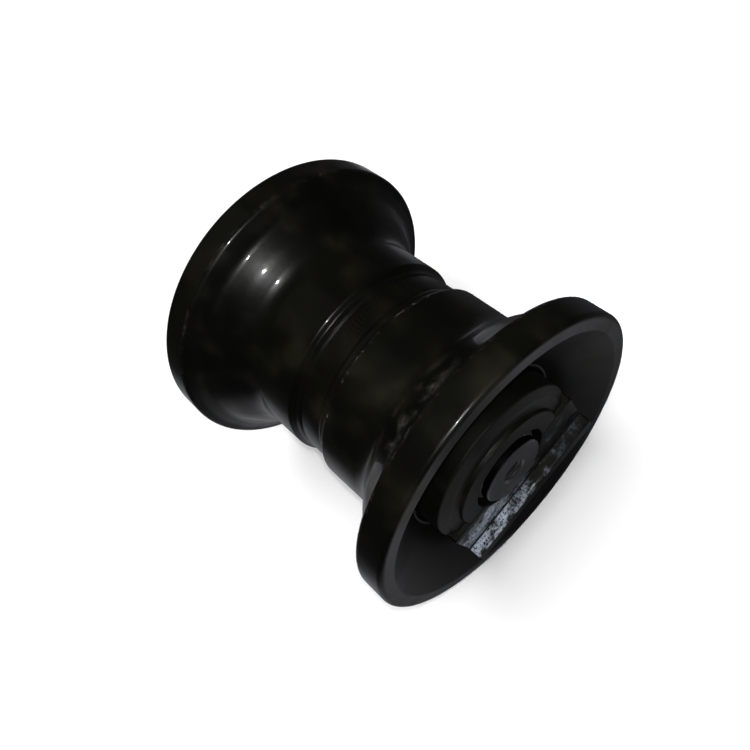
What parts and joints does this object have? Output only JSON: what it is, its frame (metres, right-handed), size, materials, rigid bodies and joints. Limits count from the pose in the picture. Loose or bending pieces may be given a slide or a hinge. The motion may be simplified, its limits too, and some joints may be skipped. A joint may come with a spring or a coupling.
{
  "type": "track roller",
  "caption": "Double-flange bottom track roller: a waisted, welded shell spins on a fixed shaft between end collars with a one-sided locating lug.",
  "frame": {"origin": "middle of the roller, on the shaft's axis, in the plane of the weld", "axes": "+Y along the shaft, towards the far end; the locating lugs of both collars point to -Z; +X completes the right-handed frame"},
  "size_m": [0.16, 0.17, 0.16],
  "materials": {
    "black_paint": "gloss",
    "ground_steel": "ground",
    "bush_bronze": "machined bronze on steel",
    "seal_iron": "lapped",
    "seal_rubber": "moulded",
    "spring_steel": "oiled",
    "plug_zinc": "zinc plated",
    "washer_copper": "soft copper"
  },
  "bodies": {
    "fixed_shaft": {"shaft": "ground_steel", "oil_plug": "plug_zinc", "plug_washer": "washer_copper", "collar_near": "black_paint", "collar_far": "black_paint", "seal_ring_fixed_near": "seal_iron", "seal_ring_fixed_far": "seal_iron", "toric_fixed_near": "seal_rubber", "toric_fixed_far": "seal_rubber", "o_ring_near": "seal_rubber", "o_ring_far": "seal_rubber", "collar_pin_near": "ground_steel", "collar_pin_far": "ground_steel", "snap_ring_near": "spring_steel", "snap_ring_far": "spring_steel"},
    "roller": {"shell_near": "black_paint", "shell_far": "black_paint", "weld_bead": "black_paint", "bush_near": "bush_bronze", "bush_far": "bush_bronze", "seal_ring_turning_near": "seal_iron", "seal_ring_turning_far": "seal_iron", "toric_turning_near": "seal_rubber", "toric_turning_far": "seal_rubber"}
  },
  "joints": [
    {"name": "roller_spin", "type": "hinge", "parent": "fixed_shaft", "child": "roller", "pos_m": [0, 0, 0], "axis": [0, 1, 0], "continuous": true}
  ]
}
